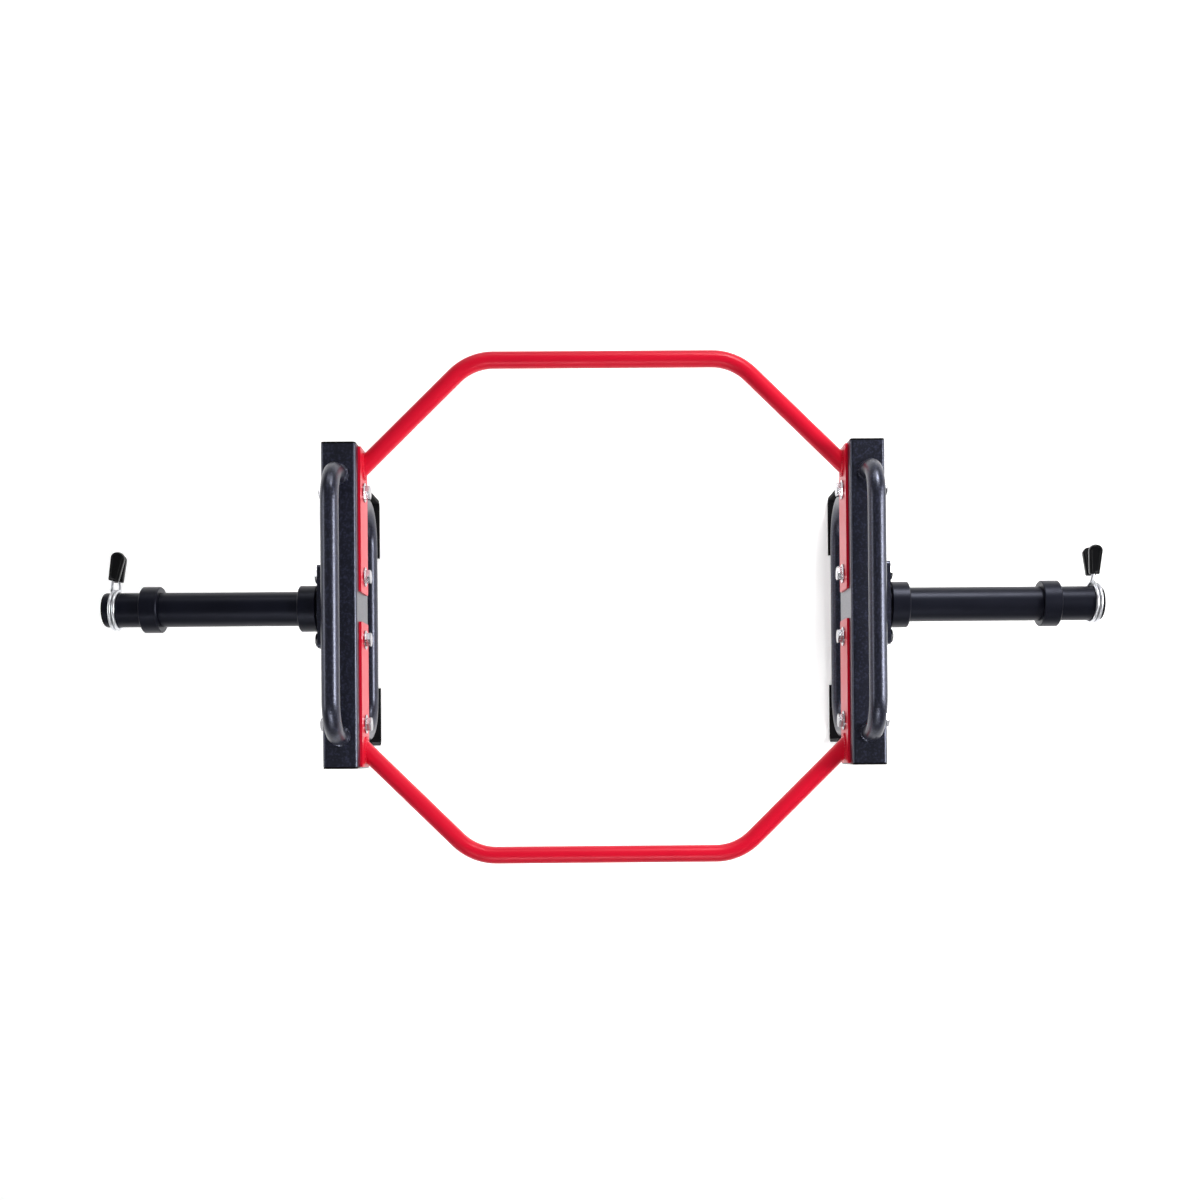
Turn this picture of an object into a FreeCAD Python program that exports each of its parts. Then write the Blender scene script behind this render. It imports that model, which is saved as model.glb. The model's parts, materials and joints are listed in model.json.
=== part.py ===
import FreeCAD, Part
import math
import os
import Sketcher
from FreeCAD import Placement, Rotation, Vector

# A trap bar for loaded lifts, in millimetres: two box beams joined by a bent tube frame, with
# carry handles above, stand hoops below and a loading sleeve outside each beam.
# +X is to the right along the sleeves, +Y to the rear, +Z up, and the floor is at zero.

# Driving sizes: name, value, what it measures

SIZES = [
    ("beam_spacing", 757.0, "between the middles of the two side beams"),
    ("beam_width", 50.0, "across a beam"),
    ("beam_height", 100.0, "beam from top to bottom"),
    ("beam_length", 462.0, "beam without its caps"),
    ("beam_wall", 3.0, "wall of a beam"),
    ("beam_corner", 5.0, "rounding of a beam's long edges"),
    ("cap_rim", 3.0, "thickness of an end cap outside the beam"),
    ("cap_insert", 14.0, "depth of an end cap inside the beam"),
    ("cap_wall", 2.0, "wall of the cap's insert"),
    ("cap_clearance", 0.3, "between the cap's insert and the beam's inside"),
    ("handle_diameter", 25.4, "carry handle's tube"),
    ("handle_wall", 2.5, "wall of that tube"),
    ("handle_rise", 68.0, "from the beam's top to the middle of the handle's bar"),
    ("handle_edge", 44.0, "from the beam's end to the middle of a handle's leg"),
    ("handle_bend", 50.0, "bend of the handle, at its middle line"),
    ("hoop_diameter", 25.0, "stand hoop's tube"),
    ("hoop_wall", 2.5, "wall of that tube"),
    ("hoop_drop", 172.5, "from the beam's underside to the middle of the hoop's bar"),
    ("hoop_edge", 50.0, "from the beam's end to the middle of a hoop's leg"),
    ("hoop_bend", 60.0, "bend of the hoop, at its middle line"),
    ("foot_thickness", 5.0, "strip that the feet are bent from"),
    ("foot_width", 28.0, "width of that strip"),
    ("foot_overlap", 15.5, "how far a foot runs along the straight tube past the hoop's bend"),
    ("foot_bend", 6.0, "inside bend of a foot"),
    ("frame_depth", 724.0, "between the straight bars of the two frame tubes, middle to middle"),
    ("frame_diameter", 25.0, "frame tube"),
    ("frame_wall", 2.5, "wall of that tube"),
    ("frame_angle", 44.5, "turn of the frame tube at each bend, in degrees"),
    ("frame_bend", 80.0, "bend of the frame tube, at its middle line"),
    ("landing_edge", 23.5, "from the beam's end to where the frame tube lands"),
    ("plate_thickness", 3.5, "frame plate"),
    ("plate_height", 60.0, "frame plate from top to bottom"),
    ("plate_margin", 6.5, "plate beyond the tube that is welded to it"),
    ("plate_edge", 24.5, "from the inner bolt to the plate's inner end"),
    ("plate_corner", 3.0, "rounding of the plate's corners"),
    ("flange_thickness", 8.5, "sleeve flange"),
    ("flange_height", 80.0, "flange from top to bottom"),
    ("flange_edge", 14.0, "from the inner bolt to the flange's end"),
    ("flange_corner", 6.0, "rounding of the flange's corners"),
    ("sleeve_diameter", 50.0, "loading sleeve"),
    ("sleeve_wall", 5.0, "wall of the sleeve"),
    ("sleeve_length", 312.5, "sleeve from its flange to its open end"),
    ("collar_diameter", 67.0, "stop collar"),
    ("collar_length", 26.0, "stop collar along the sleeve"),
    ("collar_gap", 5.0, "between the flange and the stop collar"),
    ("collar_edge", 1.2, "bevel on the collar's and ring's rims"),
    ("plug_rim", 3.0, "thickness of the sleeve plug outside the sleeve"),
    ("plug_insert", 14.0, "depth of the plug inside the sleeve"),
    ("plug_inset", 0.5, "how far the plug's rim stays inside the sleeve's outside"),
    ("plug_clearance", 0.2, "between the plug and the sleeve's bore"),
    ("plug_rounding", 1.8, "rounding of the plug's rim"),
    ("bolt_diameter", 12.0, "shank of the bolts"),
    ("bolt_clearance", 0.5, "between a shank and its hole"),
    ("thread_end", 1.0, "shank past its nut"),
    ("head_flats", 19.0, "bolt head across its flats"),
    ("head_height", 7.5, "bolt head along the bolt"),
    ("nut_flats", 19.0, "nut across its flats"),
    ("nut_height", 9.0, "nut along the bolt"),
    ("nut_gap", 1.5, "between a flange nut's corner and the stop collar"),
    ("hex_face", 0.95, "round top face of a head or nut, as a share of its flats"),
    ("hex_bevel", 30.0, "bevel of heads and nuts against their face, in degrees"),
    ("head_washer_diameter", 28.0, "wide washer under a head"),
    ("nut_washer_diameter", 24.0, "washer under an outer nut"),
    ("washer_thickness", 2.0, "washers"),
    ("bolt_room", 7.0, "between the outer bolt's washer and the frame tube's landing"),
    ("ring_diameter", 67.0, "loose ring"),
    ("ring_length", 26.0, "loose ring along the sleeve"),
    ("ring_clearance", 0.3, "between the loose ring's bore and the sleeve"),
    ("ring_inset_left", 56.5, "from the left sleeve's tip to its loose ring"),
    ("ring_inset_right", 64.5, "from the right sleeve's tip to its loose ring"),
    ("clip_wire", 4.6, "wire of the spring clip"),
    ("clip_pitch", 5.5, "step between the clip's turns"),
    ("clip_clearance", 0.3, "between the wire and the sleeve"),
    ("clip_inset_left", 15.2, "from the left sleeve's tip to the middle of its clip"),
    ("clip_inset_right", 11.3, "from the right sleeve's tip to the middle of its clip"),
    ("clip_bend", 8.0, "bend from the coil into a leg"),
    ("leg_angle", 12.0, "each leg above or below the level, in degrees"),
    ("root_offset", 3.4, "each leg from the middle of the clip at its root"),
    ("leg_offset", 2.0, "each leg from the middle of the clip at its grip"),
    ("leg_lean", 15.0, "lean of the left upper leg towards the middle of the bar, in degrees"),
    ("leg_insert", 30.0, "leg inside its grip"),
    ("grip_offset", 0.5, "each grip from the middle of the clip, along the sleeve"),
    ("grip_start", 42.5, "from the sleeve's middle line to the foot of a grip"),
    ("grip_length", 43.0, "grip along its leg"),
    ("grip_foot_width", 15.0, "grip at its foot"),
    ("grip_tip_width", 20.0, "grip where its tip starts to round"),
    ("grip_crown", 9.0, "height of the round tip"),
    ("grip_thickness", 8.6, "grip from face to face"),
    ("grip_rounding", 2.4, "rounding of the grip's edges"),
    ("grip_clearance", 0.3, "between a leg and its hole in the grip"),
]
CLIP_TURNS = 2
LEVELS = {"upper": 1, "lower": -1}
LEANS = {("left", "upper"): "sizes.leg_lean"}

# Worked-out places, as expressions on the sheet

AXIS_HEIGHT = ("(sizes.foot_thickness + sizes.hoop_diameter / 2 + sizes.hoop_drop"
               " + sizes.beam_height / 2)")
BEAM_X = "(sizes.beam_spacing / 2)"
FLANGE_FACE = "(sizes.beam_width / 2 + sizes.flange_thickness)"
SLEEVE_END = f"({FLANGE_FACE} + sizes.sleeve_length)"
SLEEVE_TIP = f"({SLEEVE_END} + sizes.plug_rim)"
PLATE_FACE_X = f"({BEAM_X} - sizes.beam_width / 2 - sizes.plate_thickness)"
BOLT_HOLE = "(sizes.bolt_diameter / 2 + sizes.bolt_clearance)"
INNER_BOLT_Y = "(sizes.collar_diameter / 2 + sizes.nut_gap + sizes.nut_flats / sqrt(3))"
LANDING_Y = "(sizes.beam_length / 2 - sizes.landing_edge)"
LANDING_HALF = "(sizes.frame_diameter / 2 / cos(sizes.frame_angle))"
OUTER_BOLT_Y = f"({LANDING_Y} - {LANDING_HALF} - sizes.head_washer_diameter / 2 - sizes.bolt_room)"
VERTEX_X = f"({PLATE_FACE_X} - (sizes.frame_depth / 2 - {LANDING_Y}) / tan(sizes.frame_angle))"

SIDES = {"left": -1, "right": 1}
ENDS = {"front": -1, "rear": 1}
X_AXIS = Vector(1, 0, 0)
Y_AXIS = Vector(0, 1, 0)
Z_AXIS = Vector(0, 0, 1)
OUTWARD = {-1: Z_AXIS, 1: None}
CORNER_TURN = {(1, 1): None, (-1, -1): Z_AXIS, (1, -1): X_AXIS, (-1, 1): Y_AXIS}
TOLERANCE = 1e-6

doc = FreeCAD.newDocument("TrapBar")
sheet = doc.addObject("Spreadsheet::Sheet", "sizes")
for row, (alias, value, meaning) in enumerate(SIZES, start=1):
    sheet.set(f"A{row}", meaning)
    sheet.set(f"B{row}", str(value))
    sheet.setAlias(f"B{row}", alias)
doc.recompute()

nodes = []


def size(expression):
    """The number that an expression on the sheet gives now."""
    return float(sheet.evalExpression(expression))


# Sketches: every dimension is bound to the sheet

def new_body(name):
    body = doc.addObject("PartDesign::Body", name)
    body.Label = name
    nodes.append(body)
    return body


def origin_plane(body, role):
    return next(item for item in body.Origin.OriginFeatures if item.Role == role)


def new_sketch(body, name, role):
    sketch = body.newObject("Sketcher::SketchObject", f"{body.Name}_{name}")
    sketch.AttachmentSupport = [(origin_plane(body, role), "")]
    sketch.MapMode = "FlatFace"
    return sketch


def bind(sketch, constraint, expression):
    index = sketch.addConstraint(constraint)
    name = f"d{index}"
    sketch.renameConstraint(index, name)
    sketch.setExpression(f"Constraints.{name}", expression)


def place(sketch, geometry, point, axis, sign, expression):
    """Fix one coordinate of a point at sign times the expression from the origin."""
    ends = [(-1, 1), (geometry, point)][::sign]
    bind(sketch, Sketcher.Constraint(f"Distance{axis}", *ends[0], *ends[1], size(expression)), expression)


def circle(sketch, radius, across=None, up=None):
    """A circle whose middle is at signed expressions (sign, text), or on an axis for None."""
    x = across[0] * size(across[1]) if across else 0.0
    y = up[0] * size(up[1]) if up else 0.0
    index = sketch.addGeometry(Part.Circle(Vector(x, y, 0), Z_AXIS, size(radius)), False)
    bind(sketch, Sketcher.Constraint("Radius", index, size(radius)), radius)
    for axis, place_of, line in (("X", across, -2), ("Y", up, -1)):
        if place_of:
            place(sketch, index, 3, axis, *place_of)
        else:
            sketch.addConstraint(Sketcher.Constraint("PointOnObject", index, 3, line))


def polygon(sketch, corners):
    """Straight sides through corners given as ((sign, x text), (sign, y text)), None for zero."""
    points = []
    for corner in corners:
        numbers = [item[0] * size(item[1]) if item else 0.0 for item in corner]
        points.append(Vector(numbers[0], numbers[1], 0))
    first = sketch.GeometryCount
    count = len(points)
    for index in range(count):
        sketch.addGeometry(Part.LineSegment(points[index], points[(index + 1) % count]), False)
    for index in range(count):
        sketch.addConstraint(Sketcher.Constraint("Coincident", first + index, 2,
                                                 first + (index + 1) % count, 1))
        for axis, item, line in (("X", corners[index][0], -2), ("Y", corners[index][1], -1)):
            if item:
                place(sketch, first + index, 1, axis, *item)
            else:
                sketch.addConstraint(Sketcher.Constraint("PointOnObject", first + index, 1, line))


def rectangle(sketch, left, right, low, high):
    polygon(sketch, [(left, low), (right, low), (right, high), (left, high)])


def centred_rectangle(sketch, half_width, half_height):
    rectangle(sketch, (-1, half_width), (1, half_width), (-1, half_height), (1, half_height))


# Features

def pad(body, sketch, length, symmetric=False, reverse=False):
    feature = body.newObject("PartDesign::Pad", f"{sketch.Name}_pad")
    feature.Profile = sketch
    feature.SideType = "Symmetric" if symmetric else "One side"
    feature.Reversed = reverse
    feature.setExpression("Length", length)
    doc.recompute()
    return feature


def pocket(body, sketch, length=None, reverse=False):
    """Cut a sketch to a length, or right through both ways, and check that it cut."""
    before = body.Shape.Volume
    feature = body.newObject("PartDesign::Pocket", f"{sketch.Name}_cut")
    feature.Profile = sketch
    if length is None:
        feature.Type = "ThroughAll"
        feature.SideType = "Symmetric"
    else:
        feature.Reversed = reverse
        feature.setExpression("Length", length)
    doc.recompute()
    if body.Shape.Volume >= before:
        raise RuntimeError(f"{feature.Name} cuts nothing")
    return feature


def round_edges(body, kind, radius, chosen):
    """Fillet or chamfer the edges that a test picks on the body's last feature."""
    base = body.Tip
    names = [f"Edge{index}" for index, edge in enumerate(base.Shape.Edges, start=1) if chosen(edge)]
    feature = body.newObject(f"PartDesign::{kind}", f"{body.Name}_{kind.lower()}_{len(body.Group)}")
    feature.Base = (base, names)
    feature.setExpression("Radius" if kind == "Fillet" else "Size", radius)
    doc.recompute()


def runs_along(edge, axis):
    if not isinstance(edge.Curve, Part.Line):
        return False
    return abs(abs(edge.Curve.Direction.dot(axis)) - 1.0) < TOLERANCE


def is_circle(edge, radius):
    return isinstance(edge.Curve, Part.Circle) and abs(edge.Curve.Radius - radius) < TOLERANCE


def seat(piece, side, turn_axis=None, across="0", lengthwise="0", up="0"):
    """Put a piece modelled about the beam's middle on its side, half a turn round an axis or not."""
    if turn_axis:
        piece.Placement = Placement(Vector(), Rotation(turn_axis, 180.0))
    piece.setExpression("Placement.Base.x", f"{side} * {BEAM_X} + {across}")
    piece.setExpression("Placement.Base.y", lengthwise)
    piece.setExpression("Placement.Base.z", f"{AXIS_HEIGHT} + {up}")


# Side beams and their caps

def beam(side_name, side):
    body = new_body(f"{side_name}_beam")
    section = new_sketch(body, "section", "XZ_Plane")
    centred_rectangle(section, "sizes.beam_width / 2", "sizes.beam_height / 2")
    pad(body, section, "sizes.beam_length", symmetric=True)
    round_edges(body, "Fillet", "sizes.beam_corner", lambda edge: runs_along(edge, Y_AXIS))
    inside = new_sketch(body, "inside", "XZ_Plane")
    centred_rectangle(inside, "sizes.beam_width / 2 - sizes.beam_wall",
                      "sizes.beam_height / 2 - sizes.beam_wall")
    pocket(body, inside)
    holes = new_sketch(body, "bolt_holes", "YZ_Plane")
    for along in (INNER_BOLT_Y, OUTER_BOLT_Y):
        for sign in (-1, 1):
            circle(holes, BOLT_HOLE, across=(sign, along))
    pocket(body, holes)
    seat(body, side)


def beam_cap(side_name, side, end_name, end):
    """A rim as large as the beam's end, with a hollow insert that fits its inside."""
    body = new_body(f"{side_name}_{end_name}_beam_cap")
    rim = new_sketch(body, "rim", "XZ_Plane")
    centred_rectangle(rim, "sizes.beam_width / 2", "sizes.beam_height / 2")
    pad(body, rim, "sizes.cap_rim", reverse=True)
    round_edges(body, "Fillet", "sizes.beam_corner", lambda edge: runs_along(edge, Y_AXIS))
    gap = "(sizes.beam_wall + sizes.cap_clearance)"
    insert = new_sketch(body, "insert", "XZ_Plane")
    centred_rectangle(insert, f"sizes.beam_width / 2 - {gap}", f"sizes.beam_height / 2 - {gap}")
    pad(body, insert, "sizes.cap_insert")
    hollow = new_sketch(body, "hollow", "XZ_Plane")
    centred_rectangle(hollow, f"sizes.beam_width / 2 - {gap} - sizes.cap_wall",
                      f"sizes.beam_height / 2 - {gap} - sizes.cap_wall")
    pocket(body, hollow, "sizes.cap_insert", reverse=True)
    seat(body, side, OUTWARD[end], lengthwise=f"{end} * sizes.beam_length / 2")


# Bent tubes

def tube_section(sketch, family, **middle):
    outside = f"sizes.{family}_diameter / 2"
    for radius in (outside, f"{outside} - sizes.{family}_wall"):
        circle(sketch, radius, **middle)


def pipe(body, profile, path):
    feature = body.newObject("PartDesign::AdditivePipe", f"{body.Name}_pipe")
    feature.Profile = profile
    feature.Spine = (path, [f"Edge{index + 1}" for index in range(path.GeometryCount)])
    doc.recompute()
    return feature


def u_tube(name, family, reach, edge):
    """A tube bent into a U, with its legs' ends on the level plane and its bar at the reach."""
    span = f"(sizes.beam_length - 2 * {edge})"
    bend = f"sizes.{family}_bend"
    body = new_body(name)
    path = new_sketch(body, "path", "YZ_Plane")
    half, top, radius = size(f"{span} / 2"), size(reach), size(bend)
    low = top - radius
    left_middle, right_middle = Vector(radius - half, low, 0), Vector(half - radius, low, 0)
    path.addGeometry(Part.LineSegment(Vector(-half, 0, 0), Vector(-half, low, 0)), False)
    path.addGeometry(Part.ArcOfCircle(Part.Circle(left_middle, Z_AXIS, radius), math.pi / 2, math.pi), False)
    path.addGeometry(Part.LineSegment(Vector(radius - half, top, 0), Vector(half - radius, top, 0)), False)
    path.addGeometry(Part.ArcOfCircle(Part.Circle(right_middle, Z_AXIS, radius), 0, math.pi / 2), False)
    path.addGeometry(Part.LineSegment(Vector(half, low, 0), Vector(half, 0, 0)), False)
    for first, first_end, second, second_end in ((0, 2, 1, 2), (1, 1, 2, 1), (2, 2, 3, 2), (3, 1, 4, 1)):
        path.addConstraint(Sketcher.Constraint("Tangent", first, first_end, second, second_end))
    path.addConstraint(Sketcher.Constraint("Vertical", 0))
    path.addConstraint(Sketcher.Constraint("Horizontal", 2))
    path.addConstraint(Sketcher.Constraint("Vertical", 4))
    path.addConstraint(Sketcher.Constraint("PointOnObject", 0, 1, -1))
    path.addConstraint(Sketcher.Constraint("Symmetric", 0, 1, 4, 2, -2))
    path.addConstraint(Sketcher.Constraint("Equal", 1, 3))
    bind(path, Sketcher.Constraint("Radius", 1, radius), bend)
    bind(path, Sketcher.Constraint("DistanceX", 0, 1, 4, 2, 2 * half), span)
    bind(path, Sketcher.Constraint("DistanceY", -1, 1, 2, 1, top), reach)
    section = new_sketch(body, "section", "XY_Plane")
    tube_section(section, family, up=(-1, f"{span} / 2"))
    pipe(body, section, path)
    return body


def carry_handle(side_name, side):
    body = u_tube(f"{side_name}_carry_handle", "handle", "sizes.handle_rise", "sizes.handle_edge")
    seat(body, side, up="sizes.beam_height / 2")


def stand_hoop(side_name, side):
    body = u_tube(f"{side_name}_stand_hoop", "hoop", "sizes.hoop_drop", "sizes.hoop_edge")
    seat(body, side, X_AXIS, up="-sizes.beam_height / 2")


def foot(side_name, side, end_name, end):
    """A strip bent square round the hoop's lower corner, flat on the floor."""
    body = new_body(f"{side_name}_{end_name}_foot")
    outer = "(sizes.beam_length / 2 - sizes.hoop_edge + sizes.hoop_diameter / 2 + sizes.foot_thickness)"
    reach = "(sizes.hoop_bend + sizes.hoop_diameter / 2 + sizes.foot_thickness + sizes.foot_overlap)"
    profile = new_sketch(body, "profile", "YZ_Plane")
    inner = f"{outer} - sizes.foot_thickness"
    near = (1, f"{outer} - {reach}")
    thick, tall = (1, "sizes.foot_thickness"), (1, reach)
    polygon(profile, [(near, None), ((1, outer), None), ((1, outer), tall), ((1, inner), tall),
                      ((1, inner), thick), (near, thick)])
    pad(body, profile, "sizes.foot_width", symmetric=True)

    def corner_at(place_of):
        across, up = (size(text) for text in place_of)
        return lambda edge: runs_along(edge, X_AXIS) and math.hypot(
            edge.CenterOfMass.y - across, edge.CenterOfMass.z - up) < TOLERANCE

    round_edges(body, "Fillet", "sizes.foot_bend", corner_at((inner, "sizes.foot_thickness")))
    round_edges(body, "Fillet", "sizes.foot_bend + sizes.foot_thickness", corner_at((outer, "0")))
    seat(body, side, OUTWARD[end], up=f"-{AXIS_HEIGHT}")


def frame_tube(end_name, end):
    """Half a tube from its middle to past the frame plate, trimmed at the plate and mirrored."""
    body = new_body(f"{end_name}_frame_tube")
    middle_y = "(sizes.frame_depth / 2)"
    bend_start = f"({VERTEX_X} - sizes.frame_bend * tan(sizes.frame_angle / 2))"
    past = "sizes.frame_diameter"
    end_x = f"({PLATE_FACE_X} + {past})"
    end_y = f"({LANDING_Y} - {past} * tan(sizes.frame_angle))"
    radius, turn = size("sizes.frame_bend"), math.radians(size("sizes.frame_angle"))
    start, depth = size(bend_start), size(middle_y)
    bend_middle = Vector(start, depth - radius, 0)
    bend_end = bend_middle + Vector(radius * math.sin(turn), radius * math.cos(turn), 0)
    path = new_sketch(body, "path", "XY_Plane")
    path.addGeometry(Part.LineSegment(Vector(0, depth, 0), Vector(start, depth, 0)), False)
    path.addGeometry(Part.ArcOfCircle(Part.Circle(bend_middle, Z_AXIS, radius),
                                      math.pi / 2 - turn, math.pi / 2), False)
    path.addGeometry(Part.LineSegment(bend_end, Vector(size(end_x), size(end_y), 0)), False)
    path.addConstraint(Sketcher.Constraint("Tangent", 0, 2, 1, 2))
    path.addConstraint(Sketcher.Constraint("Tangent", 1, 1, 2, 1))
    path.addConstraint(Sketcher.Constraint("Horizontal", 0))
    path.addConstraint(Sketcher.Constraint("PointOnObject", 0, 1, -2))
    place(path, 0, 1, "Y", 1, middle_y)
    place(path, 0, 2, "X", 1, bend_start)
    place(path, 2, 2, "X", 1, end_x)
    place(path, 2, 2, "Y", 1, end_y)
    bind(path, Sketcher.Constraint("Radius", 1, radius), "sizes.frame_bend")
    section = new_sketch(body, "section", "YZ_Plane")
    tube_section(section, "frame", across=(1, middle_y))
    half = pipe(body, section, path)
    trim = new_sketch(body, "trim", "XY_Plane")
    rectangle(trim, (1, PLATE_FACE_X), (1, f"{PLATE_FACE_X} + 3 * {past}"), None, (1, middle_y))
    cut = pocket(body, trim)
    mirror = body.newObject("PartDesign::Mirrored", f"{body.Name}_mirror")
    mirror.Originals = [half, cut]
    mirror.MirrorPlane = (origin_plane(body, "YZ_Plane"), [""])
    body.Tip = mirror
    doc.recompute()
    if end < 0:
        body.Placement = Placement(Vector(), Rotation(Z_AXIS, 180.0))
    body.setExpression("Placement.Base.z", AXIS_HEIGHT)


# Plates

def frame_plate(side_name, side, end_name, end):
    body = new_body(f"{side_name}_{end_name}_frame_plate")
    outline = new_sketch(body, "outline", "YZ_Plane")
    half = "sizes.plate_height / 2"
    rectangle(outline, (1, f"{INNER_BOLT_Y} - sizes.plate_edge"),
              (1, f"{LANDING_Y} + {LANDING_HALF} + sizes.plate_margin"), (-1, half), (1, half))
    for along in (INNER_BOLT_Y, OUTER_BOLT_Y):
        circle(outline, BOLT_HOLE, across=(1, along))
    pad(body, outline, "sizes.plate_thickness", reverse=True)
    round_edges(body, "Fillet", "sizes.plate_corner", lambda edge: runs_along(edge, X_AXIS))
    seat(body, side, CORNER_TURN[(side, end)], across=f"{-side} * sizes.beam_width / 2")


def sleeve_flange(side_name, side):
    body = new_body(f"{side_name}_sleeve_flange")
    outline = new_sketch(body, "outline", "YZ_Plane")
    centred_rectangle(outline, f"{INNER_BOLT_Y} + sizes.flange_edge", "sizes.flange_height / 2")
    for sign in (-1, 1):
        circle(outline, BOLT_HOLE, across=(sign, INNER_BOLT_Y))
    pad(body, outline, "sizes.flange_thickness")
    round_edges(body, "Fillet", "sizes.flange_corner", lambda edge: runs_along(edge, X_AXIS))
    seat(body, side, OUTWARD[side], across=f"{side} * sizes.beam_width / 2")


# Round pieces on the sleeve's middle line

def round_piece(name, side, start, steps):
    """Steps of outer radius, inner radius or None, length, and whether it runs inward from the start."""
    body = new_body(name)
    for index, (outer, inner, length, inward) in enumerate(steps):
        section = new_sketch(body, f"section_{index}", "YZ_Plane")
        circle(section, outer)
        if inner:
            circle(section, inner)
        pad(body, section, length, reverse=inward)
    seat(body, side, OUTWARD[side], across=f"{side} * ({start})")
    return body


def sleeve(side_name, side):
    outer = "sizes.sleeve_diameter / 2"
    round_piece(f"{side_name}_sleeve", side, FLANGE_FACE,
                [(outer, f"{outer} - sizes.sleeve_wall", "sizes.sleeve_length", False)])


def bevel_rims(body, diameter):
    radius = size(f"{diameter} / 2")
    round_edges(body, "Chamfer", "sizes.collar_edge", lambda edge: is_circle(edge, radius))


def stop_collar(side_name, side):
    body = round_piece(f"{side_name}_stop_collar", side, f"{FLANGE_FACE} + sizes.collar_gap",
                       [("sizes.collar_diameter / 2", "sizes.sleeve_diameter / 2",
                         "sizes.collar_length", False)])
    bevel_rims(body, "sizes.collar_diameter")


def loose_ring(side_name, side):
    start = f"{SLEEVE_TIP} - sizes.ring_inset_{side_name} - sizes.ring_length"
    body = round_piece(f"{side_name}_loose_ring", side, start,
                       [("sizes.ring_diameter / 2", "sizes.sleeve_diameter / 2 + sizes.ring_clearance",
                         "sizes.ring_length", False)])
    bevel_rims(body, "sizes.ring_diameter")


def sleeve_plug(side_name, side):
    rim = "sizes.sleeve_diameter / 2 - sizes.plug_inset"
    insert = "sizes.sleeve_diameter / 2 - sizes.sleeve_wall - sizes.plug_clearance"
    body = round_piece(f"{side_name}_sleeve_plug", side, SLEEVE_END,
                       [(rim, None, "sizes.plug_rim", False),
                        (insert, None, "sizes.plug_insert", True)])
    radius, rim_face = size(rim), size("sizes.plug_rim")
    round_edges(body, "Fillet", "sizes.plug_rounding",
                lambda edge: is_circle(edge, radius) and abs(edge.CenterOfMass.x - rim_face) < TOLERANCE)


# Fasteners: groups of separate solids, each bolt along X with its head on the inner side

def primitive(kind, name, start, along, **sizes_of):
    """A primitive whose own axis lies along X, from the start outwards, at a signed place in Y."""
    piece = doc.addObject(f"Part::{kind}", name)
    piece.Placement = Placement(Vector(), Rotation(Y_AXIS, 90.0))
    piece.setExpression("Placement.Base.x", start)
    piece.setExpression("Placement.Base.y", along)
    for key, expression in sizes_of.items():
        piece.setExpression(key, expression)
    return piece


def boolean(kind, name, base, tool):
    piece = doc.addObject(f"Part::{kind}", name)
    piece.Base = base
    piece.Tool = tool
    return piece


def hexagon(name, start, along, flats, height, round_face_out):
    """A hexagon with the usual bevel on its free face."""
    block = primitive("Prism", f"{name}_block", start, along, Height=height,
                      Circumradius=f"{flats} / sqrt(3)")
    block.Polygon = 6
    face = f"{flats} / 2 * sizes.hex_face"
    wide = f"{face} + {height} / tan(sizes.hex_bevel)"
    radii = {"Radius1": wide, "Radius2": face}
    if not round_face_out:
        radii = {"Radius1": face, "Radius2": wide}
    cone = primitive("Cone", f"{name}_bevel", start, along, Height=height, **radii)
    common = doc.addObject("Part::MultiCommon", f"{name}_hexagon")
    common.Shapes = [block, cone]
    return common


def washer(name, start, along, diameter):
    disc = primitive("Cylinder", f"{name}_disc", start, along, Radius=f"{diameter} / 2",
                     Height="sizes.washer_thickness")
    hole = primitive("Cylinder", f"{name}_hole", start, along, Radius=BOLT_HOLE,
                     Height="sizes.washer_thickness")
    return boolean("Cut", name, disc, hole)


def group(name, side, pieces):
    compound = doc.addObject("Part::Compound", name)
    compound.Label = name
    compound.Links = pieces
    nodes.append(compound)
    seat(compound, side, OUTWARD[side])


def fasteners(side_name, side):
    inner_face = "(sizes.beam_width / 2 + sizes.plate_thickness)"
    outer_face = "sizes.beam_width / 2"
    head_seat = f"({inner_face} + sizes.washer_thickness)"
    bolts, head_washers, nut_washers, nuts = [], [], [], []
    for place_name, along in (("inner", INNER_BOLT_Y), ("outer", OUTER_BOLT_Y)):
        for end_name, end in ENDS.items():
            name = f"{side_name}_{end_name}_{place_name}"
            along_y = f"{end} * {along}"
            nut_seat = FLANGE_FACE
            if place_name == "outer":
                nut_seat = f"({outer_face} + sizes.washer_thickness)"
                nut_washers.append(washer(f"{name}_nut_washer", outer_face, along_y,
                                          "sizes.nut_washer_diameter"))
            shank_end = f"({nut_seat} + sizes.nut_height + sizes.thread_end)"
            head = hexagon(f"{name}_head", f"-{head_seat} - sizes.head_height", along_y,
                           "sizes.head_flats", "sizes.head_height", False)
            shank = primitive("Cylinder", f"{name}_shank", f"-{head_seat}", along_y,
                              Radius="sizes.bolt_diameter / 2", Height=f"{head_seat} + {shank_end}")
            bolts.append(boolean("Fuse", f"{name}_bolt", head, shank))
            head_washers.append(washer(f"{name}_head_washer", f"-{head_seat}", along_y,
                                       "sizes.head_washer_diameter"))
            block = hexagon(f"{name}_nut", nut_seat, along_y, "sizes.nut_flats", "sizes.nut_height", True)
            bore = primitive("Cylinder", f"{name}_nut_bore", nut_seat, along_y,
                             Radius="sizes.bolt_diameter / 2", Height="sizes.nut_height")
            nuts.append(boolean("Cut", f"{name}_nut_ring", block, bore))
    group(f"{side_name}_bolts", side, bolts)
    group(f"{side_name}_head_washers", side, head_washers)
    group(f"{side_name}_nut_washers", side, nut_washers)
    group(f"{side_name}_nuts", side, nuts)


# Spring clips

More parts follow.
